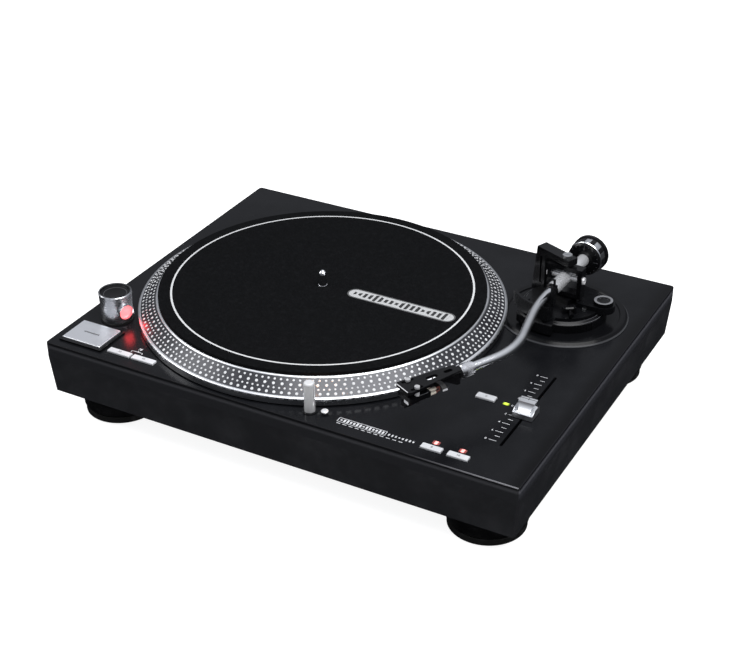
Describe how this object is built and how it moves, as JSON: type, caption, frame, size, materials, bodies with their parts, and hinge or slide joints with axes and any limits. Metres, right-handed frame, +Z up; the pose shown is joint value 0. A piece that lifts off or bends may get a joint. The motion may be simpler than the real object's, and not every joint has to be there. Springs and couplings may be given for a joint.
{
  "type": "turntable record player",
  "caption": "Direct-drive turntable with strobe-dotted platter, felt slipmat, S-shaped tonearm with counterweight, pitch fader, pop-up lamp and strobe tower on four feet.",
  "frame": {"origin": "on the floor under the middle of the plinth", "axes": "+X to the right of the player as seen from its front, +Y to its back, +Z up"},
  "size_m": [0.45, 0.352, 0.1378],
  "materials": {
    "deck_black": "semi-gloss black paint",
    "case_black": "fine-textured black casing",
    "foot_black": "satin black",
    "tread_rubber": "dull black rubber",
    "screw_zinc": "zinc plated",
    "board_green": "solder mask over glass board",
    "motor_iron": "laminated iron with varnished copper coils",
    "bearing_brass": "turned",
    "core_iron": "varnished laminations and windings",
    "fader_case": "moulded",
    "gloss_black": "gloss black",
    "led_green": "lit green diffused lens",
    "led_red": "lit red diffused lens",
    "jack_gold": "gold plated",
    "terminal_nickel": "nickel plated",
    "switch_white": "white",
    "tower_chrome": "satin chrome plate",
    "lens_red": "lit red window",
    "button_metal": "fine brushed and anodised",
    "slider_metal": "satin",
    "lamp_metal": "polished",
    "lens_amber": "lit warm window",
    "platter_metal": "die cast, turned and lacquered",
    "spindle_steel": "ground and polished",
    "magnet_grey": "ferrite ring",
    "mat_felt": "black felt with a white ring and badge",
    "arm_base_black": "satin black",
    "arm_black": "gloss black",
    "arm_chrome": "polished",
    "dial_silver": "satin",
    "shell_black": "gloss black with bright bevelled edges",
    "cartridge_black": "moulded",
    "stylus_white": "translucent grip with a metal cantilever",
    "lead_red": "insulated leads",
    "weight_chrome": "satin plated with a black rear rim"
  },
  "bodies": {
    "case": {"top_plate": "deck_black", "base_tray": "case_black", "case_screws": "screw_zinc", "foot_cups": "foot_black", "foot_pads": "tread_rubber", "motor_board": "board_green", "motor_stator": "motor_iron", "bearing_housing": "bearing_brass", "main_board": "board_green", "transformer": "core_iron", "control_boards": "board_green", "pitch_fader_module": "fader_case", "start_stop_bezel": "gloss_black", "led_green": "led_green", "led_red": "led_red", "jack_panel": "case_black", "rca_jacks": "jack_gold", "ground_terminal": "terminal_nickel", "power_inlet": "gloss_black", "lamp_sleeve": "gloss_black", "strobe_tower": "tower_chrome", "strobe_lens": "lens_red", "arm_base_flange": "arm_base_black"},
    "platter_body": {"platter": "platter_metal", "spindle": "spindle_steel", "rotor_magnet": "magnet_grey"},
    "mat_body": {"slipmat": "mat_felt"},
    "ring_body": {"height_ring": "arm_base_black"},
    "arm_base_body": {"arm_platform": "arm_base_black", "arm_rest_post": "arm_black", "bearing_yoke": "arm_black", "bearing_screw": "screw_zinc"},
    "anti_skate_body": {"anti_skate_dial": "dial_silver"},
    "lever_body": {"cue_lever": "arm_chrome"},
    "lifter_body": {"cue_lifter": "arm_base_black"},
    "clip_body": {"rest_clip": "gloss_black"},
    "gimbal_body": {"gimbal_ring": "arm_black"},
    "arm_body": {"arm_pivot_shaft": "arm_chrome", "arm_tube": "arm_chrome", "headshell": "shell_black", "finger_lift": "arm_chrome", "cartridge_body": "cartridge_black", "stylus_assembly": "stylus_white", "headshell_screws": "screw_zinc", "headshell_leads": "lead_red"},
    "nut_body": {"headshell_nut": "arm_chrome"},
    "dial_body": {"force_dial": "gloss_black"},
    "weight_body": {"counterweight": "weight_chrome"},
    "start_stop_body": {"start_stop_button": "button_metal"},
    "button_33_body": {"button_33": "button_metal"},
    "button_45_body": {"button_45": "button_metal"},
    "reset_body": {"reset_button": "button_metal"},
    "range_a_body": {"range_button_a": "button_metal"},
    "range_b_body": {"range_button_b": "button_metal"},
    "slider_body": {"pitch_slider": "slider_metal"},
    "power_body": {"power_dial": "gloss_black"},
    "lamp_body": {"target_lamp": "lamp_metal", "lamp_lens": "lens_amber"},
    "release_body": {"lamp_release_button": "lamp_metal"},
    "switch_body": {"line_switch": "switch_white"}
  },
  "joints": [
    {"name": "platter_spin", "type": "hinge", "parent": "case", "child": "platter_body", "pos_m": [-0.0434, -0.0062, 0.0954], "axis": [0, 0, 1], "continuous": true},
    {"name": "mat_slip", "type": "hinge", "parent": "platter_body", "child": "mat_body", "pos_m": [-0.0434, -0.0062, 0.0954], "axis": [0, 0, 1], "continuous": true},
    {"name": "base_height", "type": "slide", "parent": "case", "child": "arm_base_body", "axis": [0, 0, 1], "range_m": [0, 0.006]},
    {"name": "ring_turn", "type": "hinge", "parent": "case", "child": "ring_body", "pos_m": [0.15484, 0.07958, 0.085], "axis": [0, 0, 1], "range_deg": [0, 270]},
    {"name": "anti_skate_turn", "type": "hinge", "parent": "arm_base_body", "child": "anti_skate_body", "pos_m": [0.18984, 0.08308, 0.097], "axis": [0, 0, 1], "range_deg": [0, 270]},
    {"name": "lifter_rise", "type": "slide", "parent": "arm_base_body", "child": "lifter_body", "axis": [0, 0, 1], "range_m": [0, 0.004]},
    {"name": "cue_lever_turn", "type": "hinge", "parent": "arm_base_body", "child": "lever_body", "pos_m": [0.16675, 0.06109, 0.0952], "axis": [-0.8406, -0.5417, 0], "range_deg": [0, 60]},
    {"name": "rest_clip_turn", "type": "hinge", "parent": "arm_base_body", "child": "clip_body", "pos_m": [0.15893, 0.0418, 0.1238], "axis": [-0.0558, -0.9984, 0], "range_deg": [0, 40]},
    {"name": "arm_swing", "type": "hinge", "parent": "arm_base_body", "child": "gimbal_body", "pos_m": [0.15484, 0.07958, 0.116], "axis": [0, 0, 1], "range_deg": [-46, 0]},
    {"name": "arm_lift", "type": "hinge", "parent": "gimbal_body", "child": "arm_body", "pos_m": [0.15484, 0.07958, 0.116], "axis": [-0.9984, 0.0558, 0], "range_deg": [0, 10]},
    {"name": "headshell_nut_turn", "type": "hinge", "parent": "arm_body", "child": "nut_body", "pos_m": [0.13993, -0.10609, 0.116], "axis": [-0.4571, -0.8894, 0], "range_deg": [0, 60]},
    {"name": "weight_slide", "type": "slide", "parent": "arm_body", "child": "dial_body", "axis": [-0.0558, -0.9984, 0], "range_m": [-0.004, 0.004]},
    {"name": "weight_turn", "type": "hinge", "parent": "dial_body", "child": "weight_body", "pos_m": [0.15707, 0.11952, 0.116], "axis": [-0.0558, -0.9984, 0], "range_deg": [-720, 720]},
    {"name": "start_stop_press", "type": "slide", "parent": "case", "child": "start_stop_body", "axis": [0, 0, -1], "range_m": [0, 0.0012], "stiffness_N_per_m": 600, "springref_m": -0.001},
    {"name": "button_33_press", "type": "slide", "parent": "case", "child": "button_33_body", "axis": [0, 0, -1], "range_m": [0, 0.0012], "stiffness_N_per_m": 600, "springref_m": -0.001},
    {"name": "button_45_press", "type": "slide", "parent": "case", "child": "button_45_body", "axis": [0, 0, -1], "range_m": [0, 0.0012], "stiffness_N_per_m": 600, "springref_m": -0.001},
    {"name": "reset_press", "type": "slide", "parent": "case", "child": "reset_body", "axis": [0, 0, -1], "range_m": [0, 0.0012], "stiffness_N_per_m": 600, "springref_m": -0.001},
    {"name": "range_a_press", "type": "slide", "parent": "case", "child": "range_a_body", "axis": [0, 0, -1], "range_m": [0, 0.0012], "stiffness_N_per_m": 600, "springref_m": -0.001},
    {"name": "range_b_press", "type": "slide", "parent": "case", "child": "range_b_body", "axis": [0, 0, -1], "range_m": [0, 0.0012], "stiffness_N_per_m": 600, "springref_m": -0.001},
    {"name": "release_press", "type": "slide", "parent": "case", "child": "release_body", "axis": [0, 0, -1], "range_m": [0, 0.0012], "stiffness_N_per_m": 600, "springref_m": -0.001},
    {"name": "pitch_slide", "type": "slide", "parent": "case", "child": "slider_body", "axis": [0, 1, 0], "range_m": [-0.044, 0.058]},
    {"name": "power_turn", "type": "hinge", "parent": "case", "child": "power_body", "pos_m": [-0.194, -0.11291, 0.097], "axis": [0, 0, 1], "range_deg": [0, 60]},
    {"name": "lamp_raise", "type": "slide", "parent": "case", "child": "lamp_body", "axis": [0, 0, 1], "range_m": [-0.0265, 0], "stiffness_N_per_m": 12, "springref_m": 0.012},
    {"name": "line_switch_slide", "type": "slide", "parent": "case", "child": "switch_body", "axis": [1, 0, 0], "range_m": [0, 0.004]}
  ],
  "couplings": [
    {"joint": "ring_turn", "follows": "base_height", "rad_per_m": 785},
    {"joint": "cue_lever_turn", "follows": "lifter_rise", "rad_per_m": 261.7},
    {"joint": "weight_turn", "follows": "weight_slide", "rad_per_m": 3141.5}
  ]
}
